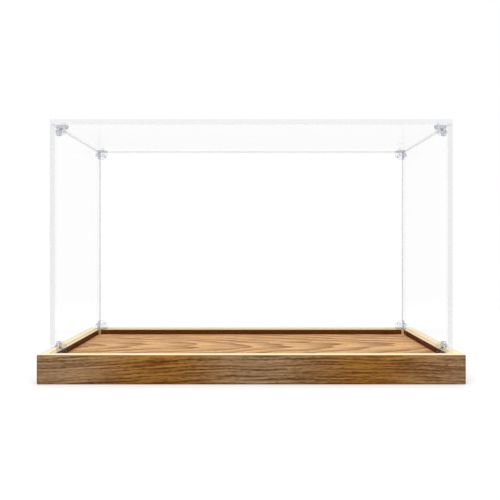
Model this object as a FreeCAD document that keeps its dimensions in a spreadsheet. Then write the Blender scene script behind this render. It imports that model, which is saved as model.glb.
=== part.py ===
"""Display case: a clear five-panel cover that lifts off a mitred wooden base, in millimetres."""
import FreeCAD
import Part
import math
import os
import re
import Sketcher

# Driving dimensions
SIZES = {
    "cover_width": 420.0,
    "cover_depth": 165.0,
    "cover_height": 245.0,
    "panel_thickness": 5.0,
    "panel_chamfer": 0.3,
    "cover_clearance": 0.5,
    "rim_width": 9.0,
    "rail_height": 30.0,
    "rail_chamfer": 0.6,
    "rebate_width": 4.0,
    "rebate_depth": 1.0,
    "edging_thickness": 0.6,
    "edging_chamfer": 0.25,
    "recess_depth": 8.0,
    "floor_thickness": 5.0,
    "floor_gap": 0.4,
    "tongue_thickness": 3.0,
    "tongue_reach": 4.0,
    "groove_clearance": 0.2,
    "key_length": 10.0,
    "key_thickness": 3.0,
    "key_height": 10.0,
    "key_base": 3.0,
    "key_clearance": 0.15,
    "fixing_offset": 6.0,
    "clip_margin": 5.0,
    "clip_round": 7.0,
    "clip_wall": 2.0,
    "clip_rise": 1.0,
    "clip_fillet": 0.9,
    "boss_diameter": 6.0,
    "boss_height": 0.5,
    "shank_diameter": 3.4,
    "shank_grip": 3.2,
    "shank_taper": 0.4,
    "hole_clearance": 0.2,
    "head_diameter": 5.2,
    "head_edge": 0.5,
    "head_height": 1.3,
}

# Sizes worked out from the driving ones
RAIL_THICKNESS = "(rim_width + rebate_width)"
BASE_WIDTH = "(cover_width + 2 * cover_clearance + 2 * rim_width)"
BASE_DEPTH = "(cover_depth + 2 * cover_clearance + 2 * rim_width)"
LEDGE_LEVEL = "(rail_height - rebate_depth)"
FLOOR_UNDERSIDE = "(rail_height - recess_depth - floor_thickness)"
GROOVE_TOP = f"({FLOOR_UNDERSIDE} + tongue_thickness + groove_clearance)"
WALL_HEIGHT = "(cover_height - panel_thickness)"
LID_LEVEL = f"({LEDGE_LEVEL} + {WALL_HEIGHT})"
CORNER_X = "(cover_width / 2 - panel_thickness)"
CORNER_Y = "(cover_depth / 2 - panel_thickness)"
CLIP_SIZE = "(fixing_offset + clip_margin)"
CLIP_FLAT = f"({CLIP_SIZE} - clip_round)"
HOLE_DIAMETER = "(shank_diameter + 2 * hole_clearance)"

# The way each side faces, along X and along Y
SIDES = {
    "front": (0, -1),
    "right": (1, 0),
    "back": (0, 1),
    "left": (-1, 0),
}
UP = FreeCAD.Vector(0, 0, 1)
ACROSS = FreeCAD.Vector(1, 0, 0)

doc = FreeCAD.newDocument("display_case")
sheet = doc.addObject("Spreadsheet::Sheet", "Sizes")


def fill_sheet():
    for row, (name, size) in enumerate(SIZES.items(), start=1):
        sheet.set(f"A{row}", name)
        sheet.set(f"B{row}", str(size))
        sheet.setAlias(f"B{row}", name)
    doc.recompute()


def formula(text):
    """The text with the sheet's name put before each size in it."""
    return re.sub(r"[a-z]+(?:_[a-z]+)+", lambda found: "Sizes." + found.group(), text)


def number(text):
    return float(sheet.evalExpression(formula(text)))


def bind(item, name, text):
    item.setExpression(name, formula(text))


def move_to(item, x, y, z):
    bind(item, "Placement.Base.x", x)
    bind(item, "Placement.Base.y", y)
    bind(item, "Placement.Base.z", z)


def turn(item, rotation):
    item.Placement = FreeCAD.Placement(FreeCAD.Vector(0, 0, 0), rotation)


def facing(side):
    """The turn about the upright axis that takes a front piece to this side."""
    x_way, y_way = SIDES[side]
    return FreeCAD.Rotation(UP, math.degrees(math.atan2(x_way, -y_way)))


# Sketches
def new_sketch(body, role, name):
    sketch = body.newObject("Sketcher::SketchObject", name)
    plane = next(item for item in body.Origin.OriginFeatures if item.Role == role)
    sketch.AttachmentSupport = [(plane, "")]
    sketch.MapMode = "FlatFace"
    return sketch


def hold(sketch, constraint, text):
    index = sketch.addConstraint(constraint)
    bind(sketch, f"Constraints[{index}]", text)


def hold_point(sketch, line, end, x, y):
    """Ties one end of a line or arc to a place measured from the sketch's origin."""
    hold(sketch, Sketcher.Constraint("DistanceX", -1, 1, line, end, number(x)), x)
    hold(sketch, Sketcher.Constraint("DistanceY", -1, 1, line, end, number(y)), y)


def join(sketch, first, second):
    sketch.addConstraint(Sketcher.Constraint("Coincident", first, 2, second, 1))


def draw_outline(sketch, points):
    """A closed outline of straight lines through points given as pairs of formulas."""
    start = sketch.GeometryCount
    places = [FreeCAD.Vector(number(x), number(y), 0) for x, y in points]
    count = len(points)
    for index in range(count):
        line = Part.LineSegment(places[index], places[(index + 1) % count])
        sketch.addGeometry(line, False)
    for index in range(count):
        join(sketch, start + index, start + (index + 1) % count)
    for index, (x, y) in enumerate(points):
        hold_point(sketch, start + index, 1, x, y)


def draw_circle(sketch, x, y, diameter):
    centre = FreeCAD.Vector(number(x), number(y), 0)
    index = sketch.addGeometry(Part.Circle(centre, UP, number(diameter) / 2), False)
    hold_point(sketch, index, 3, x, y)
    hold(sketch, Sketcher.Constraint("Diameter", index, number(diameter)), diameter)


# Features of a body
def add_pad(body, sketch, length, side="One side", backwards=False):
    pad = body.newObject("PartDesign::Pad", body.Name + "_pad")
    pad.Profile = sketch
    pad.SideType = side
    pad.Reversed = backwards
    bind(pad, "Length", length)
    doc.recompute()
    return pad


def add_pocket(body, sketch, depth, backwards=True):
    """Cuts the sketch into the body, and fails if nothing is taken away."""
    before = body.Shape.Volume
    pocket = body.newObject("PartDesign::Pocket", body.Name + "_pocket")
    pocket.Profile = sketch
    pocket.Reversed = backwards
    bind(pocket, "Length", depth)
    doc.recompute()
    if body.Shape.Volume >= before:
        raise RuntimeError(body.Label + " isn't cut by its pocket")
    return pocket


def new_body(label):
    body = doc.addObject("PartDesign::Body", label)
    body.Label = label
    return body


# Wooden base
def mitred_strip(name, length, width, height, profile):
    """A strip along X with this cross-section, both ends cut at 45 degrees."""
    body = new_body(name)
    section = new_sketch(body, "YZ_Plane", name + "_section")
    draw_outline(section, profile)
    add_pad(body, section, length, side="Symmetric")
    ends = new_sketch(body, "XY_Plane", name + "_ends")
    for sign in ("", "-"):
        tip = f"{sign}({length}) / 2"
        heel = f"{sign}(({length}) / 2 - {width})"
        draw_outline(ends, [(tip, "0"), (tip, width), (heel, width)])
    add_pocket(body, ends, height)
    return body


def rail_profile():
    groove_back = f"({RAIL_THICKNESS} - tongue_reach - floor_gap)"
    core_top = "(rail_height - edging_thickness)"
    return [
        ("rail_chamfer", "0"),
        (RAIL_THICKNESS, "0"),
        (RAIL_THICKNESS, FLOOR_UNDERSIDE),
        (groove_back, FLOOR_UNDERSIDE),
        (groove_back, GROOVE_TOP),
        (RAIL_THICKNESS, GROOVE_TOP),
        (RAIL_THICKNESS, LEDGE_LEVEL),
        ("rim_width", LEDGE_LEVEL),
        ("rim_width", core_top),
        ("0", core_top),
        ("0", "rail_chamfer"),
    ]


def edging_profile():
    return [
        ("0", "0"),
        ("rim_width", "0"),
        ("rim_width", "edging_thickness"),
        ("edging_chamfer", "edging_thickness"),
        ("0", "edging_thickness - edging_chamfer"),
    ]


def turned_box(name, length, width, height, centre, angle):
    """A box turned about the upright axis, with the middle of its underside at the centre."""
    x, y, z = centre
    box = doc.addObject("Part::Box", name)
    bind(box, "Length", length)
    bind(box, "Width", width)
    bind(box, "Height", height)
    turn(box, FreeCAD.Rotation(UP, angle))
    along = f"cos({angle} deg)"
    aside = f"sin({angle} deg)"
    corner_x = f"{x} - ({length}) / 2 * {along} + ({width}) / 2 * {aside}"
    corner_y = f"{y} - ({length}) / 2 * {aside} - ({width}) / 2 * {along}"
    move_to(box, corner_x, corner_y, z)
    return box


def key_slots(name, length):
    """Slots for the mitre keys, one across each end of a rail, before the rail is turned."""
    slots = []
    for sign, angle in (("", 45), ("-", 135)):
        middle = (f"{sign}(({length}) / 2 - {RAIL_THICKNESS} / 2)", f"{RAIL_THICKNESS} / 2", "key_base")
        slot = turned_box(
            f"{name}_slot_{angle}",
            "(key_length + 2 * key_clearance)",
            "(key_thickness + 2 * key_clearance)",
            "(key_height + key_clearance)",
            middle,
            angle,
        )
        slots.append(slot)
    both = doc.addObject("Part::Compound", name + "_slots")
    both.Links = slots
    return both


def side_length(x_way, width, depth):
    """The left and right sides, which face along X, run the depth, and the others the width."""
    return depth if x_way else width


def make_rail(side):
    x_way, y_way = SIDES[side]
    name = f"base_{side}_rail"
    length = side_length(x_way, BASE_WIDTH, BASE_DEPTH)
    body = mitred_strip(name + "_body", length, RAIL_THICKNESS, "rail_height", rail_profile())
    rail = doc.addObject("Part::Cut", name)
    rail.Base = body
    rail.Tool = key_slots(name, length)
    rail.Label = name
    doc.recompute()
    if rail.Shape.Volume >= body.Shape.Volume:
        raise RuntimeError(name + " isn't cut by its key slots")
    turn(rail, facing(side))
    move_to(rail, f"{x_way} * {BASE_WIDTH} / 2", f"{y_way} * {BASE_DEPTH} / 2", "0")
    return rail


def make_edging(side):
    x_way, y_way = SIDES[side]
    length = side_length(x_way, BASE_WIDTH, BASE_DEPTH)
    body = mitred_strip(f"rim_edging_{side}", length, "rim_width", "edging_thickness", edging_profile())
    turn(body, facing(side))
    level = "rail_height - edging_thickness"
    move_to(body, f"{x_way} * {BASE_WIDTH} / 2", f"{y_way} * {BASE_DEPTH} / 2", level)
    return body


def rectangle(width, depth):
    left, right = f"-({width}) / 2", f"({width}) / 2"
    front, back = f"-({depth}) / 2", f"({depth}) / 2"
    return [(left, front), (right, front), (right, back), (left, back)]


def make_floor():
    """The display board: a tongue all round its lower edge and a raised field between the rails."""
    body = new_body("display_floor")
    opening = [f"({size} - 2 * {RAIL_THICKNESS})" for size in (BASE_WIDTH, BASE_DEPTH)]
    tongue = new_sketch(body, "XY_Plane", "floor_tongue")
    draw_outline(tongue, rectangle(*[f"({size} + 2 * tongue_reach)" for size in opening]))
    add_pad(body, tongue, "tongue_thickness")
    field = new_sketch(body, "XY_Plane", "floor_field")
    draw_outline(field, rectangle(*[f"({size} - 2 * floor_gap)" for size in opening]))
    add_pad(body, field, "floor_thickness")
    move_to(body, "0", "0", FLOOR_UNDERSIDE)
    return body


def make_keys():
    """Loose keys hidden across the four mitre joints."""
    keys = []
    for x_sign, y_sign, angle in (("", "-", 45), ("", "", 135), ("-", "", 45), ("-", "-", 135)):
        middle = (
            f"{x_sign}({BASE_WIDTH} - {RAIL_THICKNESS}) / 2",
            f"{y_sign}({BASE_DEPTH} - {RAIL_THICKNESS}) / 2",
            "key_base",
        )
        name = f"mitre_key_{len(keys) + 1}"
        keys.append(turned_box(name, "key_length", "key_thickness", "key_height", middle, angle))
    group = doc.addObject("Part::Compound", "mitre_keys")
    group.Label = "mitre_keys"
    group.Links = keys
    return group


# Clear cover
def fixing_places(half_span, low, high):
    """The four rivet places of a panel, in the panel's own plane."""
    return [(f"{sign}({half_span})", level) for level in (low, high) for sign in ("-", "")]


def make_panel(label, width, height, places):
    """A sheet standing on the X axis: its inner face is at zero and its outer face one thickness up."""
    body = new_body(label)
    outline = new_sketch(body, "XY_Plane", label + "_outline")
    left, right = f"-({width}) / 2", f"({width}) / 2"
    draw_outline(outline, [(left, "0"), (right, "0"), (right, height), (left, height)])
    pad = add_pad(body, outline, "panel_thickness")
    chamfer = body.newObject("PartDesign::Chamfer", label + "_chamfer")
    chamfer.Base = (pad, [""])
    chamfer.UseAllEdges = True
    bind(chamfer, "Size", "panel_chamfer")
    doc.recompute()
    holes = new_sketch(body, "XY_Plane", label + "_holes")
    for x, y in places:
        draw_circle(holes, x, y, HOLE_DIAMETER)
    add_pocket(body, holes, "(shank_grip + hole_clearance)")
    return body


def draw_rivet_section():
    """Half of a rivet: the seat under its head is at zero, the shank above it and the domed head below."""
    sketch = doc.addObject("Sketcher::SketchObject", "rivet_section")
    turn(sketch, FreeCAD.Rotation(ACROSS, 90))
    reach = "(clip_wall + boss_height + shank_grip)"
    points = [
        ("head_diameter / 2", "-head_edge"),
        ("head_diameter / 2", "0"),
        ("shank_diameter / 2", "0"),
        ("shank_diameter / 2", f"{reach} - shank_taper"),
        ("shank_diameter / 2 - shank_taper", reach),
        ("0", reach),
        ("0", "-head_height"),
    ]
    places = [FreeCAD.Vector(number(x), number(y), 0) for x, y in points]
    for start, end in zip(places, places[1:]):
        sketch.addGeometry(Part.LineSegment(start, end), False)
    for index, (x, y) in enumerate(points[:-1]):
        hold_point(sketch, index, 1, x, y)
    last = len(points) - 2
    hold_point(sketch, last, 2, *points[-1])
    for index in range(last):
        join(sketch, index, index + 1)
    radius = number("head_diameter / 2")
    crown = number("head_height - head_edge")
    dome_radius = (radius ** 2 + crown ** 2) / (2 * crown)
    centre = FreeCAD.Vector(0, dome_radius - number("head_height"), 0)
    middle = centre + FreeCAD.Vector(places[0] + places[-1] - centre * 2).normalize() * dome_radius
    dome = sketch.addGeometry(Part.Arc(places[-1], middle, places[0]), False)
    join(sketch, last, dome)
    join(sketch, dome, 0)
    sketch.addConstraint(Sketcher.Constraint("PointOnObject", dome, 3, -2))
    doc.recompute()
    return sketch


def make_rivets(label, section, places):
    """Four rivets as one group, in the same plane as the panel they hold."""
    rivets = []
    for x, y in places:
        rivet = doc.addObject("Part::Revolution", label + "_one")
        rivet.Source = section
        rivet.Axis = UP
        rivet.Base = FreeCAD.Vector(0, 0, 0)
        rivet.Angle = 360
        rivet.Solid = True
        move_to(rivet, x, y, "-(clip_wall + boss_height)")
        rivets.append(rivet)
    group = doc.addObject("Part::Compound", label)
    group.Label = label
    group.Links = rivets
    return group


def stand_on_side(item, side):
    x_way, y_way = SIDES[side]
    turn(item, facing(side) * FreeCAD.Rotation(ACROSS, 90))
    move_to(item, f"{x_way} * {CORNER_X}", f"{y_way} * {CORNER_Y}", LEDGE_LEVEL)


def make_wall(side, section):
    """A wall and its rivets: the left and right walls run the full depth, the others fit between them."""
    x_way, _ = SIDES[side]
    width = side_length(x_way, f"(2 * {CORNER_X})", "cover_depth")
    half_span = side_length(x_way, CORNER_X, CORNER_Y) + " - fixing_offset"
    places = fixing_places(half_span, "clip_rise + fixing_offset", f"{WALL_HEIGHT} - fixing_offset")
    wall = make_panel(f"{side}_panel", width, WALL_HEIGHT, places)
    rivets = make_rivets(f"{side}_panel_rivets", section, places)
    stand_on_side(wall, side)
    stand_on_side(rivets, side)
    return [wall, rivets]


def make_lid(section):
    edge = "(panel_thickness + fixing_offset)"
    places = fixing_places(f"{CORNER_X} - fixing_offset", edge, f"cover_depth - {edge}")
    lid = make_panel("top_panel", "cover_width", "cover_depth", places)
    rivets = make_rivets("top_panel_rivets", section, places)
    for item in (lid, rivets):
        move_to(item, "0", "-cover_depth / 2", LID_LEVEL)
    return [lid, rivets]


def draw_flange(sketch):
    """A square flange with its far corner well rounded."""
    size = number(CLIP_SIZE)
    flat = number(CLIP_FLAT)
    corner = FreeCAD.Vector(0, 0, 0)
    right = FreeCAD.Vector(size, 0, 0)
    right_end = FreeCAD.Vector(size, flat, 0)
    top_end = FreeCAD.Vector(flat, size, 0)
    top = FreeCAD.Vector(0, size, 0)
    centre = FreeCAD.Vector(flat, flat, 0)
    middle = centre + FreeCAD.Vector(1, 1, 0).normalize() * (size - flat)
    sketch.addGeometry(Part.LineSegment(corner, right), False)
    sketch.addGeometry(Part.LineSegment(right, right_end), False)
    sketch.addGeometry(Part.Arc(right_end, middle, top_end), False)
    sketch.addGeometry(Part.LineSegment(top_end, top), False)
    sketch.addGeometry(Part.LineSegment(top, corner), False)
    for index in range(5):
        join(sketch, index, (index + 1) % 5)
    hold_point(sketch, 0, 1, "0", "0")
    hold_point(sketch, 1, 1, CLIP_SIZE, "0")
    hold_point(sketch, 4, 1, "0", CLIP_SIZE)
    hold_point(sketch, 2, 1, CLIP_SIZE, CLIP_FLAT)
    hold_point(sketch, 2, 2, CLIP_FLAT, CLIP_SIZE)
    hold(sketch, Sketcher.Constraint("Radius", 2, size - flat), "clip_round")


def inner_corner_edges(shape):
    """Names of the three straight edges where the flanges of a clip meet on the inside."""
    wall = number("clip_wall")
    names = []
    for index, edge in enumerate(shape.Edges, start=1):
        middle = edge.CenterOfMass
        on_wall = [abs(value - wall) < 0.001 for value in middle]
        if on_wall.count(True) == 2 and max(middle) > wall:
            names.append(f"Edge{index}")
    return names


def make_clip(label):
    """A three-way clip in the corner of the positive X, Y and Z directions."""
    body = new_body(label)
    planes = {"XY_Plane": False, "XZ_Plane": True, "YZ_Plane": False}
    for role, backwards in planes.items():
        flange = new_sketch(body, role, label + "_flange")
        draw_flange(flange)
        last = add_pad(body, flange, "clip_wall", backwards=backwards)
    fillet = body.newObject("PartDesign::Fillet", label + "_fillet")
    fillet.Base = (last, inner_corner_edges(last.Shape))
    bind(fillet, "Radius", "clip_fillet")
    doc.recompute()
    for role, backwards in planes.items():
        boss = new_sketch(body, role, label + "_boss")
        draw_circle(boss, "fixing_offset", "fixing_offset", "boss_diameter")
        add_pad(body, boss, "(clip_wall + boss_height)", backwards=backwards)
    for role, backwards in planes.items():
        hole = new_sketch(body, role, label + "_hole")
        draw_circle(hole, "fixing_offset", "fixing_offset", HOLE_DIAMETER)
        add_pocket(body, hole, "(clip_wall + boss_height)", backwards=not backwards)
    return body


def make_clips():
    """Eight clips in the corners of the cover, the upper four turned over."""
    corners = {
        "front_left": ("-", "-"),
        "front_right": ("", "-"),
        "back_right": ("", ""),
        "back_left": ("-", ""),
    }
    clips = []
    for index, (corner, (x_sign, y_sign)) in enumerate(corners.items()):
        low = make_clip(f"corner_clip_bottom_{corner}")
        turn(low, FreeCAD.Rotation(UP, 90 * index))
        move_to(low, x_sign + CORNER_X, y_sign + CORNER_Y, f"{LEDGE_LEVEL} + clip_rise")
        high = make_clip(f"corner_clip_top_{corner}")
        turn(high, FreeCAD.Rotation(UP, 90 * (index + 1)) * FreeCAD.Rotation(ACROSS, 180))
        move_to(high, x_sign + CORNER_X, y_sign + CORNER_Y, LID_LEVEL)
        clips += [low, high]
    return clips


def build():
    fill_sheet()
    nodes = [make_rail(side) for side in SIDES]
    nodes += [make_edging(side) for side in SIDES]
    nodes += [make_floor(), make_keys()]
    section = draw_rivet_section()
    for side in SIDES:
        nodes += make_wall(side, section)
    nodes += make_lid(section)
    nodes += make_clips()
    doc.recompute()
    return nodes


def check(nodes):
    for item in doc.Objects:
        if "Invalid" in item.State or "Error" in item.State:
            raise RuntimeError(item.Label + " didn't recompute")
    for node in nodes:
        if node.Shape.isNull() or not node.Shape.isValid():
            raise RuntimeError(node.Label + " has no valid shape")


def write(nodes):
    os.makedirs("parts", exist_ok=True)
    for node in nodes:
        node.Shape.exportStep(f"parts/{node.Label}.step")


finished = build()
check(finished)
write(finished)
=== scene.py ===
"""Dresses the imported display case: an oiled wood base with pale edging, a clear cover and a white stage."""

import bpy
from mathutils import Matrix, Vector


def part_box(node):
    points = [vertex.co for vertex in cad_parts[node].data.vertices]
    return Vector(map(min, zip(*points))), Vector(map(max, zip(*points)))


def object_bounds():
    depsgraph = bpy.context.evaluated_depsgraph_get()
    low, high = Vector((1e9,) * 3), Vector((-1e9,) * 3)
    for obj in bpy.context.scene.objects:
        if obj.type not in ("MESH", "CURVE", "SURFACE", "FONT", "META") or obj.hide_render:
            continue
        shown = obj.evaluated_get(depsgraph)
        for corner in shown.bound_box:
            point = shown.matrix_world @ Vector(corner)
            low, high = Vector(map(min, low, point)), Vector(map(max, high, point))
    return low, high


bl_info = {
    "name": "Display case",
    "version": (1, 0, 0),
    "blender": (4, 5, 0),
    "location": "3D View > Sidebar > Display case",
    "description": "Gives the case its woods, clear acrylic and moulded fittings, and sets a white stage",
    "category": "Object",
}

from collections import namedtuple
import math

import bpy
from mathutils import Vector

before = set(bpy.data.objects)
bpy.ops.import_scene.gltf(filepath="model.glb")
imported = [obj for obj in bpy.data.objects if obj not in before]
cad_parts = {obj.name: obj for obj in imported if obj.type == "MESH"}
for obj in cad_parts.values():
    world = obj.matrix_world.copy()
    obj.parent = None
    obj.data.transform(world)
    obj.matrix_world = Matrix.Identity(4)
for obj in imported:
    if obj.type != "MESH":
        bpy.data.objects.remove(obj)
CAD_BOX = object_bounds()

LOW, HIGH = 0, 1
X, Y, Z = 0, 1, 2
ACROSS = {X: Y, Y: X}
AXIS_NAMES = {X: "x", Y: "y"}
WHITE = (1.0, 1.0, 1.0, 1.0)

# The nodes, in groups of like pieces
LONG_SIDES = ("front", "back")
SHORT_SIDES = ("left", "right")
PANEL_AXES = {"front": Y, "back": Y, "left": X, "right": X, "top": Z}
CLIPS = [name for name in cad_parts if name.startswith("corner_clip_")]
RIVETS = [f"{side}_panel_rivets" for side in PANEL_AXES]

# Places on the base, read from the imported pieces
BASE_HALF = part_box("base_front_rail")[HIGH][X]
BASE_HALF_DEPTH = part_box("base_back_rail")[HIGH][Y]
RECESS_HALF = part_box("base_right_rail")[LOW][X]
RECESS_HALF_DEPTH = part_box("base_back_rail")[LOW][Y]
REBATE_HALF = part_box("rim_edging_right")[LOW][X]
REBATE_HALF_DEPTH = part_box("rim_edging_back")[LOW][Y]
LEDGE_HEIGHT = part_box("front_panel")[LOW][Z]
RUN_HALF = {X: BASE_HALF, Y: BASE_HALF_DEPTH}

# How far past a face the limit of its paint lies, so that the face is safely inside
SKIN = 0.00005

# Bow of a wood's lines, noise levels where a pore starts and is full, roughness and shine of its oil
WoodFinish = namedtuple("WoodFinish", ["bow", "pore_start", "pore_full", "roughness", "shine"])
RAIL = WoodFinish(bow=0.13, pore_start=0.56, pore_full=0.68, roughness=0.5, shine=0.06)
EDGING = WoodFinish(bow=0.02, pore_start=0.66, pore_full=0.8, roughness=0.5, shine=0.1)
FLOOR = WoodFinish(bow=0.02, pore_start=0.54, pore_full=0.68, roughness=0.55, shine=0.06)
KEY = WoodFinish(bow=0.05, pore_start=0.64, pore_full=0.78, roughness=0.55, shine=0.06)

# Where along a board its bowed lines stand highest, and how often they wander in a metre
BOW_CROWN = 0.07
WANDER_SCALE = 9.0
NOISE_MIDDLE = (0.5, 0.5, 0.5)

# Each layer's share of the grain, and how many times it is shorter and narrower than the broad lines
GRAIN_LAYERS = ((0.24, 1, 1), (0.4, 2, 2.2), (0.36, 3, 4.5))
GRAIN_DARK, GRAIN_LIGHT = 0.41, 0.59

# Wobble of a board's rings, in metres and in rings, and where in a ring its late wood starts and peaks
WOBBLE_LENGTH, WOBBLE_WIDTH, WOBBLE_RINGS = 0.16, 0.03, 2.5
LATE_START, LATE_PEAK = 0.25, 0.92

# Depth of every relief in metres, its strength on the woods, and how the oil's roughness follows the grain
RELIEF_DEPTH = 0.0002
GRAIN_RELIEF = 0.25
DULLER, GLOSSIER = 0.08, 0.04

# What a wave texture of scale 1 turns through in a metre, in radians
WAVE_TURN = 20

# Levels between which most of a noise lies
NOISE_LOW, NOISE_HIGH = 0.3, 0.7

# The ways that a panel's cut edges can face
WAYS = {
    "left": (-1, 0, 0), "right": (1, 0, 0),
    "front": (0, -1, 0), "back": (0, 1, 0),
    "down": (0, 0, -1), "up": (0, 0, 1),
}

# Cosines between which a surface comes to count as a cut edge facing one way, and as a panel's face
WAY_START, WAY_FULL = 0.6, 0.7
FACE_START, FACE_FULL = 0.8, 0.95

# Shares of the usual cover, for edges that hide less
FAINT_SHARE = 0.2
SIDE_TOP_SHARE = 0.85
TOP_FRONT_SHARE = 0.65
UPRIGHT_LINE_SHARE = 0.8

# How late a panel's gloss and a moulding's painted darker rim come as the surface turns away
GLOSS_RISE = 5.0
RIM_RISE = 2.0

# Points of a mesh that lie nearer to each other than this, in metres, become one
WELD_DISTANCE = 0.000001

# The picture's width in pixels, the camera's sensor in millimetres and its nearest distance in metres
IMAGE_WIDTH = 500
SENSOR_WIDTH = 36.0
NEAREST_SEEN = 0.01

# Where each soft lamp hangs, and its width, in metres
LAMPS = {
    "key": ((-1.8, -2.4, 2.8), 2.4),
    "fill": ((2.6, -1.8, 1.6), 2.0),
    "top": ((0.0, 0.6, 3.4), 2.8),
}


# Colours and properties

def linear_light(value):
    """One 0 to 255 value of a colour picker as linear light."""
    toe, toe_slope, offset, power = 0.04045, 12.92, 0.055, 2.4
    part = value / 255
    if part <= toe:
        return part / toe_slope
    return ((part + offset) / (1 + offset)) ** power


def colour_property(name, description, picked):
    """A colour that a user can change, given as the 0 to 255 values of a colour picker."""
    return bpy.props.FloatVectorProperty(
        name=name, description=description, subtype="COLOR", size=3, min=0, max=1,
        default=[linear_light(value) for value in picked])


def length_property(name, description, metres):
    """A length that a user can change, in metres."""
    return bpy.props.FloatProperty(
        name=name, description=description, default=metres, min=0,
        unit="LENGTH", subtype="DISTANCE", precision=5)


def share_property(name, description, share):
    """A share from 0 to 1 that a user can change."""
    return bpy.props.FloatProperty(
        name=name, description=description, default=share, min=0, max=1, subtype="FACTOR")


def power_property(name, description, watts):
    """A lamp's power that a user can change."""
    return bpy.props.FloatProperty(
        name=name, description=description, default=watts, min=0, unit="POWER")


class CaseWoods(bpy.types.PropertyGroup):
    """Colours and grain of the wooden pieces."""

    rail_grey_dark: colour_property(
        "Rail, grey dark", "Dark lines where the rail wood is greyer", (93, 63, 35))
    rail_grey_light: colour_property(
        "Rail, grey light", "Light lines where the rail wood is greyer", (168, 136, 102))
    rail_gold_dark: colour_property(
        "Rail, golden dark", "Dark lines where the rail wood is golden", (92, 50, 8))
    rail_gold_light: colour_property(
        "Rail, golden light", "Light lines where the rail wood is golden", (165, 115, 52))
    # Dark pores, also the colour of the painted shade along a rail's foot and ends.
    rail_pore_and_shade: colour_property(
        "Rail pores", "Short dark pores in the rail wood", (78, 48, 20))
    zone_length: length_property(
        "Colour zones", "Distance from one golden zone of a rail to the next", 0.215)
    rail_spacing: length_property(
        "Rail rings", "Distance from one ring of a rail's wood to the next", 0.003)
    rail_heart: length_property(
        "Rail heart", "How far in from a rail's outer face, and below it, its log's heart lies", 0.045)

    # The recess walls' dark colour is part stain, part painted shade falling in the recess.
    recess_stain_and_shade: colour_property(
        "Recess stain", "Dark stain on the walls of the recess", (96, 44, 1))
    recess_corner: colour_property(
        "Recess corner", "Paler strip at the ends of the recess's long walls", (222, 176, 130))
    corner_strip: length_property(
        "Corner strip", "Width of the paler strip at the ends of the recess's long walls", 0.0032)
    ledge_lip: length_property(
        "Ledge lip", "How far down the recess walls the pale ledge shows", 0.0008)

    cream_dark: colour_property(
        "Edging, dark lines", "Dark lines in the pale edging", (249, 225, 179))
    cream_light: colour_property(
        "Edging, light lines", "Light lines in the pale edging", (252, 236, 199))
    # A darker band along the edging's outer edge.
    cream_edge: colour_property(
        "Edging, outer edge", "Oil-darkened outer edge of the edging", (238, 202, 152))
    cream_side: colour_property(
        "Edging, outer side", "Outer side of the edging, oiled with the rails", (136, 98, 58))
    # Width of the darker band along the edging's outer edge.
    edge_band: length_property(
        "Edge band", "Width of the edging's oil-darkened outer edge", 0.0012)
    side_reach: length_property(
        "Side reach", "How far the outer side's oil comes round on to the edging's top", 0.0003)

    floor_dark: colour_property(
        "Floor, dark lines", "Dark lines in the display floor", (124, 78, 34))
    floor_light: colour_property(
        "Floor, light lines", "Light lines in the display floor", (236, 187, 132))
    floor_spacing: length_property(
        "Floor rings", "Distance from one ring of the floor's wood to the next", 0.0075)
    floor_line_length: length_property(
        "Floor line length", "Length of the floor wood's broad lines", 0.2)
    floor_line_width: length_property(
        "Floor line width", "Width of the floor wood's broad lines", 0.004)
    heart_depth: length_property(
        "Floor heart", "How far below the case's underside the heart of the floor's log lies", 0.06)
    heart_lean: bpy.props.FloatProperty(
        name="Floor lean", default=0.13,
        description="How far the heart of the floor's log falls for each metre to the right")

    key_dark: colour_property(
        "Keys, dark lines", "Dark lines in the mitre keys", (176, 128, 82))
    key_light: colour_property(
        "Keys, light lines", "Light lines in the mitre keys", (214, 172, 122))
    key_line_length: length_property(
        "Key line length", "Length of the key wood's broad lines", 0.04)
    key_line_width: length_property(
        "Key line width", "Width of the key wood's broad lines", 0.002)

    line_length: length_property(
        "Line length", "Length of the rail wood's broad lines", 0.13)
    line_width: length_property(
        "Line width", "Width of the rail wood's broad lines", 0.0042)
    pore_length: length_property("Pore length", "Length of a pore", 0.006)
    pore_width: length_property("Pore width", "Width of a pore", 0.0008)
    drift: length_property("Line drift", "How far the lines wander to each side", 0.004)


class CaseClears(bpy.types.PropertyGroup):
    """Looks of the acrylic and of the moulded fittings."""

    face_tint: colour_property(
        "Panel tint", "What one face of a panel lets through", (255, 255, 255))
    gloss_ahead: share_property(
        "Gloss ahead", "Share of light that a panel reflects when seen straight on", 0.002)
    gloss_aslant: share_property(
        "Gloss aslant", "Share of light that a panel reflects when seen along it", 0.25)
    edge_tint: colour_property(
        "Panel edge", "Colour of the cut edges", (206, 208, 212))
    edge_cover: share_property(
        "Edge cover", "How much of what is behind a cut edge it hides", 0.55)
    line_cover: share_property(
        "Line cover", "How much the back panel's edges hide, which show as thin lines", 0.85)
    foot_cover: share_property(
        "Foot cover", "What is left of an edge's cover at its foot, which the pale rim lights", 0.3)
    foot_height: length_property(
        "Foot height", "How far up from the rim a cut edge is paler", 0.014)
    joint_gap: length_property(
        "Joint gap", "Hair's breadth of air between panels that touch", 0.00004)

    clip_tint: colour_property(
        "Clip tint", "Tint of the moulded clips", (246, 247, 250))
    # Painted shade on the clips' and rivets' curves, standing in for darker surroundings seen through clear
    # plastic there.
    clip_rim_shade: colour_property(
        "Clip rim", "Tint of the clips where they curve out of sight", (84, 86, 104))
    clip_roughness: share_property(
        "Clip roughness", "Roughness of the clips where they are smoothest", 0.05)
    rivet_tint: colour_property(
        "Rivet tint", "Tint of the push rivets", (249, 249, 252))
    rivet_rim_shade: colour_property(
        "Rivet rim", "Tint of the rivets where they curve out of sight", (216, 218, 226))
    rivet_roughness: share_property(
        "Rivet roughness", "Roughness of the rivets where they are smoothest", 0.08)


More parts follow.
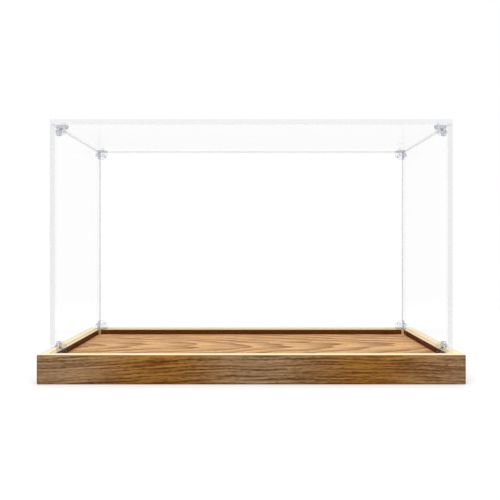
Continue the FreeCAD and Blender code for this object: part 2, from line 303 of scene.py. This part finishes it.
class CaseStage(bpy.types.PropertyGroup):
    """Camera, light and floor."""

    lens: bpy.props.FloatProperty(
        name="Lens", description="Focal length", default=37.38, min=1, unit="CAMERA")
    eye_distance: length_property(
        "Eye distance", "From the lens to the middle of the case", 0.6232)
    eye_height: length_property(
        "Eye height", "Height of the lens above the floor", 0.14247)
    frame_right: bpy.props.FloatProperty(
        name="Frame right", description="How far the picture is moved to the right",
        default=1.25, subtype="PIXEL")
    frame_up: bpy.props.FloatProperty(
        name="Frame up", description="How far the picture is moved up", default=4.76, subtype="PIXEL")
    key_power: power_property(
        "Key lamp", "Power of the soft lamp in front on the left", 56)
    fill_power: power_property(
        "Fill lamp", "Power of the soft lamp on the right", 20)
    top_power: power_property(
        "Top lamp", "Power of the soft lamp overhead", 48)
    room_light: bpy.props.FloatProperty(
        name="Room light", description="Strength of the white room's light on the case", default=0.6, min=0)
    floor_colour: colour_property(
        "Floor", "Colour of the stage's floor", (250, 250, 250))
    floor_white: share_property(
        "Floor white", "Share of the stage's floor that stays white under a shadow", 0.35)


# Node helpers

def new_material(name):
    """A material with an empty node tree, and the tree."""
    material = bpy.data.materials.new(name)
    material.use_nodes = True
    tree = material.node_tree
    tree.nodes.clear()
    return material, tree


def node(tree, kind, inputs=None, **settings):
    """Adds a node, with its settings made and its inputs set or linked by name or number."""
    made = tree.nodes.new(kind)
    for key, value in settings.items():
        setattr(made, key, value)
    for key, value in (inputs or {}).items():
        if isinstance(value, bpy.types.NodeSocket):
            tree.links.new(value, made.inputs[key])
        else:
            made.inputs[key].default_value = value
    return made


def maths(tree, operation, first, second=0.0):
    """The result of one sum."""
    return node(tree, "ShaderNodeMath", {0: first, 1: second}, operation=operation).outputs[0]


def vectors(tree, operation, inputs):
    """The outputs of one sum with vectors."""
    return node(tree, "ShaderNodeVectorMath", inputs, operation=operation).outputs


def spread(tree, value, low, high, to_low=0.0, to_high=1.0):
    """A value's range from low to high taken to another range, and held within it."""
    inputs = {"Value": value, "From Min": low, "From Max": high, "To Min": to_low, "To Max": to_high}
    return node(tree, "ShaderNodeMapRange", inputs).outputs["Result"]


def noise(tree, places, scale, detail, roughness=0.5, distortion=0.0):
    """The outputs of a noise."""
    inputs = {
        "Vector": places,
        "Scale": scale,
        "Detail": detail,
        "Roughness": roughness,
        "Distortion": distortion,
    }
    return node(tree, "ShaderNodeTexNoise", inputs).outputs


def bump(tree, strength, height):
    """A surface's normal with a shallow relief."""
    inputs = {"Strength": strength, "Distance": RELIEF_DEPTH, "Height": height}
    return node(tree, "ShaderNodeBump", inputs).outputs[0]


def slant(tree):
    """0 where a surface is seen straight on, and 1 where it is seen along itself."""
    return node(tree, "ShaderNodeLayerWeight").outputs["Facing"]


def rgba(colour):
    """A colour with its fourth value, or a link as it is."""
    if isinstance(colour, bpy.types.NodeSocket):
        return colour
    return (*colour, 1.0)


def blend(tree, share, first, second):
    """The first colour turning into the second as the share goes from 0 to 1."""
    first_slot, second_slot, result_slot = 6, 7, 2
    inputs = {0: share, first_slot: rgba(first), second_slot: rgba(second)}
    return node(tree, "ShaderNodeMix", inputs, data_type="RGBA").outputs[result_slot]


def own_place(tree):
    """The surface's place on its own piece."""
    return node(tree, "ShaderNodeTexCoord").outputs["Object"]


def place_parts(tree):
    """The surface's place on its own piece as three links."""
    return node(tree, "ShaderNodeSeparateXYZ", {"Vector": own_place(tree)}).outputs


def beyond(tree, part, limit):
    """1 where a place lies further than the limit to either side of the middle."""
    return maths(tree, "GREATER_THAN", maths(tree, "ABSOLUTE", part), limit)


def within(tree, parts, half_width, half_depth):
    """1 where a place lies inside an upright box about the middle of the case."""
    beside = maths(tree, "LESS_THAN", maths(tree, "ABSOLUTE", parts[X]), half_width)
    behind = maths(tree, "LESS_THAN", maths(tree, "ABSOLUTE", parts[Y]), half_depth)
    return maths(tree, "MULTIPLY", beside, behind)


def mix_shaders(tree, share, first, second):
    """The first shader turning into the second as the share goes from 0 to 1."""
    return node(tree, "ShaderNodeMixShader", {0: share, 1: first, 2: second}).outputs[0]


def finish_material(tree, surface):
    """Links a shader to the material's output."""
    node(tree, "ShaderNodeOutputMaterial", {"Surface": surface})


# Wood

def wood_places(tree, along, bow, drift, heart=None):
    """Places on a board as (along the grain, across, up), with the lines bowed and wandering.

    With a heart, across is counted from it, in the same way on both sides of the case.
    """
    parts = place_parts(tree)
    from_crown = maths(tree, "SUBTRACT", parts[along], BOW_CROWN)
    rise = maths(tree, "MULTIPLY", maths(tree, "MULTIPLY", from_crown, from_crown), bow)
    up = maths(tree, "ADD", parts[Z], rise)
    across = parts[ACROSS[along]]
    if heart is not None:
        across = maths(tree, "SUBTRACT", maths(tree, "ABSOLUTE", across), heart)
    bowed = node(tree, "ShaderNodeCombineXYZ", {X: parts[along], Y: across, Z: up}).outputs[0]
    wander = noise(tree, bowed, WANDER_SCALE, detail=2.0)["Color"]
    both_ways = vectors(tree, "SUBTRACT", {0: wander, 1: NOISE_MIDDLE})[0]
    reach = (0.0, drift * 2, drift * 2)
    return vectors(tree, "MULTIPLY_ADD", {0: both_ways, 1: reach, 2: bowed})[0]


def lines(tree, places, length, width, detail=3.0):
    """Long thin marks along the grain, from 0 to 1 with most near a half."""
    scale = (1 / length, 1 / width, 1 / width)
    stretched = node(tree, "ShaderNodeMapping", {"Vector": places, "Scale": scale}).outputs[0]
    return noise(tree, stretched, 1.0, detail, roughness=0.55)["Fac"]


def grain_tone(tree, places, length, width):
    """Broad lines, finer lines and fibres together, from 0 in the dark lines to 1 in the light ones."""
    layers = []
    for share, shorter, narrower in GRAIN_LAYERS:
        marks = lines(tree, places, length / shorter, width / narrower)
        layers.append(maths(tree, "MULTIPLY", marks, share))
    broad, fine, fibres = layers
    together = maths(tree, "ADD", maths(tree, "ADD", broad, fine), fibres)
    return spread(tree, together, GRAIN_DARK, GRAIN_LIGHT)


def fleck_marks(tree, places, woods, widening=1.0):
    """Short marks along the grain, the strongest of which are pores."""
    return lines(tree, places, woods.pore_length, woods.pore_width * widening, detail=1.0)


def pores_among(tree, flecks, finish):
    """1 in a pore and 0 beside it."""
    return spread(tree, flecks, finish.pore_start, finish.pore_full)


def board_rings(tree, places, heart_depth, lean, spacing):
    """Rings of a board cut beside the heart of its log, rising from early wood at 0 to late wood at 1."""
    parts = node(tree, "ShaderNodeSeparateXYZ", {"Vector": places}).outputs
    leaning = maths(tree, "MULTIPLY", parts[X], lean)
    depth = maths(tree, "ADD", maths(tree, "ADD", parts[Z], leaning), heart_depth)
    spoke = node(tree, "ShaderNodeCombineXYZ", {Y: parts[Y], Z: depth}).outputs[0]
    radius = vectors(tree, "LENGTH", {0: spoke})["Value"]
    waves = lines(tree, places, WOBBLE_LENGTH, WOBBLE_WIDTH, detail=2.0)
    wobble = maths(tree, "MULTIPLY", waves, spacing * WOBBLE_RINGS)
    turn = maths(tree, "FRACT", maths(tree, "DIVIDE", maths(tree, "ADD", radius, wobble), spacing))
    late = spread(tree, turn, LATE_START, LATE_PEAK)
    return maths(tree, "MULTIPLY", late, spread(tree, turn, LATE_PEAK, 1.0, 1.0, 0.0))


def wood_surface(tree, finish, colour, tone, pores):
    """An oiled wood surface whose colour, roughness and relief follow its grain."""
    dull = finish.roughness + DULLER
    glossy = finish.roughness - GLOSSIER
    inputs = {
        "Base Color": colour,
        "Roughness": spread(tree, tone, 0.0, 1.0, dull, glossy),
        "Specular IOR Level": finish.shine,
        "Normal": bump(tree, GRAIN_RELIEF, maths(tree, "SUBTRACT", tone, pores)),
    }
    return node(tree, "ShaderNodeBsdfPrincipled", inputs).outputs[0]


def rail_tone(tree, places, woods):
    """The rails' lines, from dark at 0 to light at 1, with late rings that come and go."""
    patch_length, patch_width = 0.08, 0.008
    patch_start, patch_full = 0.35, 0.6
    faintest_rings = 0.35
    ring_depth = 0.6
    darkest_line = 0.15
    fine = grain_tone(tree, places, woods.line_length, woods.line_width)
    rings = board_rings(tree, places, woods.rail_heart, 0.0, woods.rail_spacing)
    patches = lines(tree, places, patch_length, patch_width, detail=2.0)
    fading = spread(tree, patches, patch_start, patch_full, faintest_rings, 1.0)
    late = maths(tree, "MULTIPLY", maths(tree, "MULTIPLY", rings, fading), ring_depth)
    return maths(tree, "SUBTRACT", spread(tree, fine, 0.0, 1.0, darkest_line, 1.0), late)


def golden_zones(tree, places, zone_length):
    """1 where a rail's wood is golden and 0 where it is greyer."""
    inputs = {
        "Vector": places,
        "Scale": math.tau / (WAVE_TURN * zone_length),
        "Distortion": 1.2,
        "Detail": 1.0,
        "Phase Offset": 6.1,
    }
    return node(tree, "ShaderNodeTexWave", inputs).outputs["Fac"]


def oiled_colour(tree, places, woods, tone, flecks, pores):
    """The rails' colour by zone and line, with flecks that shine and dark pores."""
    shine_full, shine_end, shine_share = 0.34, 0.44, 0.4
    pore_share = 0.6
    golden = golden_zones(tree, places, woods.zone_length)
    dark = blend(tree, golden, woods.rail_grey_dark, woods.rail_gold_dark)
    light = blend(tree, golden, woods.rail_grey_light, woods.rail_gold_light)
    oiled = blend(tree, tone, dark, light)
    shining = blend(tree, spread(tree, flecks, shine_full, shine_end, shine_share, 0.0), oiled, light)
    return blend(tree, maths(tree, "MULTIPLY", pores, pore_share), shining, woods.rail_pore_and_shade)


def painted_shade_colour(tree, parts, along, colour, dark):
    """A rail's colour with painted shade: darker along its foot and at its ends."""
    foot_low, foot_high, foot_share = 0.0005, 0.002, 0.45
    end_length, end_share = 0.0025, 0.35
    half = RUN_HALF[along]
    # Painted shade: the foot darkens where the rail meets the floor, and the ends where their edges round
    # away.
    foot = spread(tree, parts[Z], foot_low, foot_high, foot_share, 0.0)
    from_middle = maths(tree, "ABSOLUTE", parts[along])
    ends = spread(tree, from_middle, half - end_length, half, 0.0, end_share)
    return blend(tree, maths(tree, "MAXIMUM", foot, ends), colour, dark)


def recess_colour(tree, parts, colour, woods):
    """A rail's colour, with the recess walls darkened by stain and painted shade, and the ledge pale."""
    near_corner = beyond(tree, parts[X], RECESS_HALF - woods.corner_strip)
    long_wall = beyond(tree, parts[Y], RECESS_HALF_DEPTH - SKIN)
    corner = maths(tree, "MULTIPLY", near_corner, long_wall)
    # Painted shade with the stain: the recess walls are darker than light alone would make them.
    wall = blend(tree, corner, woods.recess_stain_and_shade, woods.recess_corner)
    recess = within(tree, parts, RECESS_HALF + SKIN, RECESS_HALF_DEPTH + SKIN)
    walled = blend(tree, recess, colour, wall)
    high = maths(tree, "GREATER_THAN", parts[Z], LEDGE_HEIGHT - woods.ledge_lip)
    rebate = within(tree, parts, REBATE_HALF + SKIN, REBATE_HALF_DEPTH + SKIN)
    return blend(tree, maths(tree, "MULTIPLY", high, rebate), walled, woods.cream_light)


def rail_material(woods, along):
    """The rails' wood, darkened inside the recess by stain and painted shade, and pale on the ledge that the
    cover stands on.
    """
    material, tree = new_material("rail_wood_along_" + AXIS_NAMES[along])
    heart = RUN_HALF[ACROSS[along]] - woods.rail_heart
    places = wood_places(tree, along, RAIL.bow, woods.drift, heart)
    tone = rail_tone(tree, places, woods)
    flecks = fleck_marks(tree, places, woods)
    pores = pores_among(tree, flecks, RAIL)
    oiled = oiled_colour(tree, places, woods, tone, flecks, pores)
    parts = place_parts(tree)
    # Painted shade along the rail's foot and at its ends, in the dark pore colour.
    shaded_colour = painted_shade_colour(tree, parts, along, oiled, woods.rail_pore_and_shade)
    colour = recess_colour(tree, parts, shaded_colour, woods)
    finish_material(tree, wood_surface(tree, RAIL, colour, tone, pores))
    return material


def edging_material(woods, along):
    """The pale edging: faint lines, a darker outer edge and an oiled outer side."""
    material, tree = new_material("edging_wood_along_" + AXIS_NAMES[along])
    places = wood_places(tree, along, EDGING.bow, woods.drift / 2)
    tone = grain_tone(tree, places, woods.line_length, woods.line_width / 2)
    pores = pores_among(tree, fleck_marks(tree, places, woods), EDGING)
    pale = blend(tree, tone, woods.cream_dark, woods.cream_light)
    parts = place_parts(tree)
    middle = within(tree, parts, BASE_HALF - woods.edge_band, BASE_HALF_DEPTH - woods.edge_band)
    banded = blend(tree, middle, woods.cream_edge, pale)
    top = within(tree, parts, BASE_HALF - woods.side_reach, BASE_HALF_DEPTH - woods.side_reach)
    colour = blend(tree, top, woods.cream_side, banded)
    finish_material(tree, wood_surface(tree, EDGING, colour, tone, pores))
    return material


def floor_material(woods):
    """The display floor's veneer: flat-cut rings that run along the case, under finer lines."""
    ring_share, line_share, pore_share = 0.55, 0.55, 0.45
    pore_widening = 1.5
    material, tree = new_material("floor_wood")
    places = wood_places(tree, X, FLOOR.bow, woods.drift)
    rings = board_rings(tree, places, woods.heart_depth, woods.heart_lean, woods.floor_spacing)
    tone = grain_tone(tree, places, woods.floor_line_length, woods.floor_line_width)
    pores = pores_among(tree, fleck_marks(tree, places, woods, pore_widening), FLOOR)
    late = maths(tree, "MULTIPLY", rings, ring_share)
    dark_lines = maths(tree, "MULTIPLY", maths(tree, "SUBTRACT", 1.0, tone), line_share)
    veneer = blend(tree, maths(tree, "ADD", late, dark_lines), woods.floor_light, woods.floor_dark)
    colour = blend(tree, maths(tree, "MULTIPLY", pores, pore_share), veneer, woods.floor_dark)
    finish_material(tree, wood_surface(tree, FLOOR, colour, tone, pores))
    return material


def key_material(woods):
    """The mitre keys' plain wood."""
    material, tree = new_material("key_wood")
    places = wood_places(tree, X, KEY.bow, woods.drift)
    tone = grain_tone(tree, places, woods.key_line_length, woods.key_line_width)
    pores = pores_among(tree, fleck_marks(tree, places, woods), KEY)
    colour = blend(tree, tone, woods.key_dark, woods.key_light)
    finish_material(tree, wood_surface(tree, KEY, colour, tone, pores))
    return material


# Clear pieces

def outward(tree):
    """The way a face looks out of its piece, also where it is met from inside."""
    surface = node(tree, "ShaderNodeNewGeometry").outputs
    sign = spread(tree, surface["Backfacing"], 0.0, 1.0, 1.0, -1.0)
    return vectors(tree, "SCALE", {0: surface["True Normal"], "Scale": sign})[0]


def cover_by_way(tree, normal, covers):
    """How much a cut edge hides, by the way it faces."""
    total = 0.0
    for way, cover in covers.items():
        along = vectors(tree, "DOT_PRODUCT", {0: normal, 1: WAYS[way]})["Value"]
        here = spread(tree, along, WAY_START, WAY_FULL, 0.0, cover)
        total = maths(tree, "MAXIMUM", total, here)
    return total


def edge_covers(clears):
    """How much each panel's cut edges hide, by the way they face."""
    full = clears.edge_cover
    line = clears.line_cover
    faint = full * FAINT_SHARE
    upright = line * UPRIGHT_LINE_SHARE
    side = {"front": full, "back": faint, "up": full * SIDE_TOP_SHARE, "down": full}
    return {
        "front": {"left": faint, "right": faint, "up": faint, "down": full},
        "back": {"left": upright, "right": upright, "up": line, "down": full},
        "left": side,
        "right": side,
        "top": {"left": faint, "right": faint, "front": full * TOP_FRONT_SHARE},
    }


def panel_face(tree, clears, clear):
    """A panel's see-through face, with a weak gloss that grows as it is seen aslant."""
    haze_scale = 60.0
    smoothest, roughest = 0.02, 0.07
    haze = noise(tree, own_place(tree), haze_scale, detail=4.0)["Fac"]
    roughness = spread(tree, haze, NOISE_LOW, NOISE_HIGH, smoothest, roughest)
    gloss = node(tree, "ShaderNodeBsdfAnisotropic", {"Roughness": roughness}).outputs[0]
    rising = maths(tree, "POWER", slant(tree), GLOSS_RISE)
    strength = spread(tree, rising, 0.0, 1.0, clears.gloss_ahead, clears.gloss_aslant)
    return mix_shaders(tree, strength, clear, gloss)


def cut_edge(tree, clears, clear, full_cover):
    """A panel's sawn edge, which hides part of what is behind it, and less near its foot, where painted light
    stands in for the pale rim lighting it.
    """
    saw_scale = 1600.0
    least, most = 0.95, 1.05
    saw_marks = noise(tree, own_place(tree), saw_scale, detail=2.0)["Fac"]
    marked = spread(tree, saw_marks, NOISE_LOW, NOISE_HIGH, least, most)
    # Painted light: the cover thins towards the foot, as if the pale rim lit the edge's lower end.
    foot_top = LEDGE_HEIGHT + clears.foot_height
    foot = spread(tree, place_parts(tree)[Z], LEDGE_HEIGHT, foot_top, clears.foot_cover, 1.0)
    cover = maths(tree, "MULTIPLY", full_cover, maths(tree, "MULTIPLY", marked, foot))
    inputs = {"Base Color": rgba(clears.edge_tint), "Roughness": 0.35, "Specular IOR Level": 0.3}
    frosted = node(tree, "ShaderNodeBsdfPrincipled", inputs).outputs[0]
    return mix_shaders(tree, cover, clear, frosted)


def acrylic_material(clears, name, axis, covers):
    """Clear sheet: see-through faces with a weak gloss, and cut edges that catch the light."""
    material, tree = new_material("clear_acrylic_" + name)
    clear = node(tree, "ShaderNodeBsdfTransparent", {"Color": rgba(clears.face_tint)}).outputs[0]
    normal = outward(tree)
    face = panel_face(tree, clears, clear)
    cut = cut_edge(tree, clears, clear, cover_by_way(tree, normal, covers))
    through = node(tree, "ShaderNodeSeparateXYZ", {"Vector": normal}).outputs[axis]
    edge = spread(tree, maths(tree, "ABSOLUTE", through), FACE_START, FACE_FULL, 1.0, 0.0)
    finish_material(tree, mix_shaders(tree, edge, face, cut))
    return material


def ease_faces(name, inset):
    """Draws every face of a piece in by a hair, so that pieces which touch don't share a surface."""
    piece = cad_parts[name]
    weld = piece.modifiers.new("weld", "WELD")
    weld.merge_threshold = WELD_DISTANCE
    ease = piece.modifiers.new("ease", "DISPLACE")
    ease.strength = -inset
    ease.mid_level = 0.0


def moulded_material(name, tint, rim_shade, roughness):
    """Clear moulded plastic with faint flow marks and painted shade where it curves away, that lets lamps
    through.
    """
    flow_scale, flow_swirl, flow_relief = 260.0, 1.5, 0.15
    material, tree = new_material(name)
    marks = noise(tree, own_place(tree), flow_scale, detail=2.0, distortion=flow_swirl)["Fac"]
    # Painted shade: the tint darkens as the surface turns away from sight.
    turned_away = maths(tree, "POWER", slant(tree), RIM_RISE)
    inputs = {
        "Base Color": blend(tree, turned_away, tint, rim_shade),
        "Roughness": spread(tree, marks, NOISE_LOW, NOISE_HIGH, roughness, roughness * 2),
        "IOR": 1.0,
        "Transmission Weight": 1.0,
        "Coat Weight": 0.1,
        "Coat Roughness": 0.05,
        "Normal": bump(tree, flow_relief, marks),
    }
    glass = node(tree, "ShaderNodeBsdfPrincipled", inputs).outputs[0]
    lit_through = node(tree, "ShaderNodeBsdfTransparent", {"Color": rgba(tint)}).outputs[0]
    from_lamp = node(tree, "ShaderNodeLightPath").outputs["Is Shadow Ray"]
    finish_material(tree, mix_shaders(tree, from_lamp, glass, lit_through))
    return material


def dress(names, material):
    """Gives each of the named nodes a material."""
    for name in names:
        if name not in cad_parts:
            raise RuntimeError(f"the packed case has no piece called {name}")
        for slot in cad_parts[name].material_slots:
            slot.material = material


# Stage

def white_for_eyes(tree):
    """1 for the rays that show the stage itself: seen straight, in a gloss or through glass."""
    path = node(tree, "ShaderNodeLightPath").outputs
    seen = maths(tree, "MAXIMUM", path["Is Camera Ray"], path["Is Glossy Ray"])
    return maths(tree, "MAXIMUM", seen, path["Is Transmission Ray"])


def light_room(scene, strength):
    """A white room, at full white where it is seen and at the given strength where it lights."""
    world = bpy.data.worlds.new("white_room")
    world.use_nodes = True
    tree = world.node_tree
    tree.nodes.clear()
    level = spread(tree, white_for_eyes(tree), 0.0, 1.0, strength, 1.0)
    sky = node(tree, "ShaderNodeBackground", {"Color": WHITE, "Strength": level}).outputs[0]
    node(tree, "ShaderNodeOutputWorld", {"Surface": sky})
    scene.world = world


def stage_floor_material(colour, share):
    """A matt pale floor that turns to plain white away from the case."""
    plain_from = BASE_HALF * 4
    material, tree = new_material("stage_floor")
    matt = node(tree, "ShaderNodeBsdfDiffuse", {"Color": rgba(colour)}).outputs[0]
    white = node(tree, "ShaderNodeEmission", {"Color": WHITE, "Strength": 1.0}).outputs[0]
    away = vectors(tree, "LENGTH", {0: own_place(tree)})["Value"]
    white_share = spread(tree, away, BASE_HALF, plain_from, share, 1.0)
    seen_share = maths(tree, "MULTIPLY", white_for_eyes(tree), white_share)
    finish_material(tree, mix_shaders(tree, seen_share, matt, white))
    return material


def lay_floor(scene, colour, share):
    """A wide pale floor that keeps a faint shadow, a hair below the case."""
    half, drop = 6.0, 0.0002
    corners = [(-half, -half, -drop), (half, -half, -drop), (half, half, -drop), (-half, half, -drop)]
    mesh = bpy.data.meshes.new("stage_floor")
    mesh.from_pydata(corners, [], [(0, 1, 2, 3)])
    mesh.materials.append(stage_floor_material(colour, share))
    floor = bpy.data.objects.new("stage_floor", mesh)
    scene.collection.objects.link(floor)


def hang_lamp(scene, name, place, size, power):
    """A square soft lamp that looks at the middle of the case and leaves no mirror image in the panels."""
    data = bpy.data.lights.new(name, "AREA")
    data.size = size
    data.energy = power
    lamp = bpy.data.objects.new(name, data)
    lamp.location = place
    aim = Vector((0.0, 0.0, CAD_BOX[HIGH][Z] / 2)) - lamp.location
    lamp.rotation_euler = aim.to_track_quat("-Z", "Y").to_euler()
    lamp.visible_camera = False
    lamp.visible_glossy = False
    scene.collection.objects.link(lamp)


def set_camera(scene, stage):
    """A camera that looks straight along the depth of the case."""
    data = bpy.data.cameras.new("camera")
    data.lens = stage.lens
    data.sensor_width = SENSOR_WIDTH
    data.sensor_fit = "HORIZONTAL"
    data.shift_x = -stage.frame_right / IMAGE_WIDTH
    data.shift_y = -stage.frame_up / IMAGE_WIDTH
    data.clip_start = NEAREST_SEEN
    camera = bpy.data.objects.new("camera", data)
    camera.location = (0.0, -stage.eye_distance, stage.eye_height)
    camera.rotation_euler = (math.radians(90), 0.0, 0.0)
    scene.collection.objects.link(camera)
    scene.camera = camera


# Operators

class CASE_OT_rails(bpy.types.Operator):
    """Dress the four rails of the base"""

    bl_idname = "case.rails"
    bl_label = "Base rails"

    def execute(self, context):
        woods = context.scene.case_woods
        dress([f"base_{side}_rail" for side in LONG_SIDES], rail_material(woods, X))
        dress([f"base_{side}_rail" for side in SHORT_SIDES], rail_material(woods, Y))
        return {"FINISHED"}


class CASE_OT_edging(bpy.types.Operator):
    """Dress the pale edging round the rim"""

    bl_idname = "case.edging"
    bl_label = "Rim edging"

    def execute(self, context):
        woods = context.scene.case_woods
        dress([f"rim_edging_{side}" for side in LONG_SIDES], edging_material(woods, X))
        dress([f"rim_edging_{side}" for side in SHORT_SIDES], edging_material(woods, Y))
        return {"FINISHED"}


class CASE_OT_floor(bpy.types.Operator):
    """Dress the display floor"""

    bl_idname = "case.floor"
    bl_label = "Display floor"

    def execute(self, context):
        dress(["display_floor"], floor_material(context.scene.case_woods))
        return {"FINISHED"}


class CASE_OT_keys(bpy.types.Operator):
    """Dress the keys in the mitred corners"""

    bl_idname = "case.keys"
    bl_label = "Mitre keys"

    def execute(self, context):
        dress(["mitre_keys"], key_material(context.scene.case_woods))
        return {"FINISHED"}


class CASE_OT_panels(bpy.types.Operator):
    """Dress the five clear panels of the cover"""

    bl_idname = "case.panels"
    bl_label = "Cover panels"

    def execute(self, context):
        clears = context.scene.case_clears
        covers = edge_covers(clears)
        for name, axis in PANEL_AXES.items():
            dress([f"{name}_panel"], acrylic_material(clears, name, axis, covers[name]))
            ease_faces(f"{name}_panel", clears.joint_gap / 2)
        return {"FINISHED"}


class CASE_OT_clips(bpy.types.Operator):
    """Dress the eight corner clips"""

    bl_idname = "case.clips"
    bl_label = "Corner clips"

    def execute(self, context):
        clears = context.scene.case_clears
        plastic = moulded_material(
            "clip_plastic", clears.clip_tint, clears.clip_rim_shade, clears.clip_roughness)
        dress(CLIPS, plastic)
        return {"FINISHED"}


class CASE_OT_rivets(bpy.types.Operator):
    """Dress the push rivets that hold the clips"""

    bl_idname = "case.rivets"
    bl_label = "Push rivets"

    def execute(self, context):
        clears = context.scene.case_clears
        plastic = moulded_material(
            "rivet_plastic", clears.rivet_tint, clears.rivet_rim_shade, clears.rivet_roughness)
        dress(RIVETS, plastic)
        for name in RIVETS:
            ease_faces(name, clears.joint_gap / 2)
        return {"FINISHED"}


class CASE_OT_stage(bpy.types.Operator):
    """Set the floor, the light and the camera"""

    bl_idname = "case.stage"
    bl_label = "Stage"

    def execute(self, context):
        scene = context.scene
        stage = scene.case_stage
        scene.view_settings.view_transform = "Standard"
        light_room(scene, stage.room_light)
        lay_floor(scene, stage.floor_colour, stage.floor_white)
        for name, (place, size) in LAMPS.items():
            hang_lamp(scene, f"{name}_lamp", place, size, getattr(stage, f"{name}_power"))
        set_camera(scene, stage)
        return {"FINISHED"}


class CASE_PT_sidebar(bpy.types.Panel):
    """Lists the pieces of the display case and what can be changed"""

    bl_idname = "CASE_PT_sidebar"
    bl_label = "Display case"
    bl_space_type = "VIEW_3D"
    bl_region_type = "UI"
    bl_category = "Display case"

    def draw(self, context):
        for operator in OPERATORS:
            self.layout.operator(operator.bl_idname)
        for group in GROUPS:
            box = self.layout.box()
            settings = getattr(context.scene, group)
            for name in settings.__annotations__:
                box.prop(settings, name)


GROUPS = {"case_woods": CaseWoods, "case_clears": CaseClears, "case_stage": CaseStage}
OPERATORS = (
    CASE_OT_rails, CASE_OT_edging, CASE_OT_floor, CASE_OT_keys,
    CASE_OT_panels, CASE_OT_clips, CASE_OT_rivets, CASE_OT_stage,
)
CLASSES = (*GROUPS.values(), *OPERATORS, CASE_PT_sidebar)


def register():
    """Adds the classes and the scene's settings to Blender."""
    for made in CLASSES:
        bpy.utils.register_class(made)
    for name, group in GROUPS.items():
        setattr(bpy.types.Scene, name, bpy.props.PointerProperty(type=group))


def unregister():
    """Takes the settings and the classes out again."""
    for name in GROUPS:
        delattr(bpy.types.Scene, name)
    for made in reversed(CLASSES):
        bpy.utils.unregister_class(made)


def main():
    """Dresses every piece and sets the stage."""
    register()
    bpy.ops.case.rails()
    bpy.ops.case.edging()
    bpy.ops.case.floor()
    bpy.ops.case.keys()
    bpy.ops.case.panels()
    bpy.ops.case.clips()
    bpy.ops.case.rivets()
    bpy.ops.case.stage()


if __name__ == "__main__":
    main()
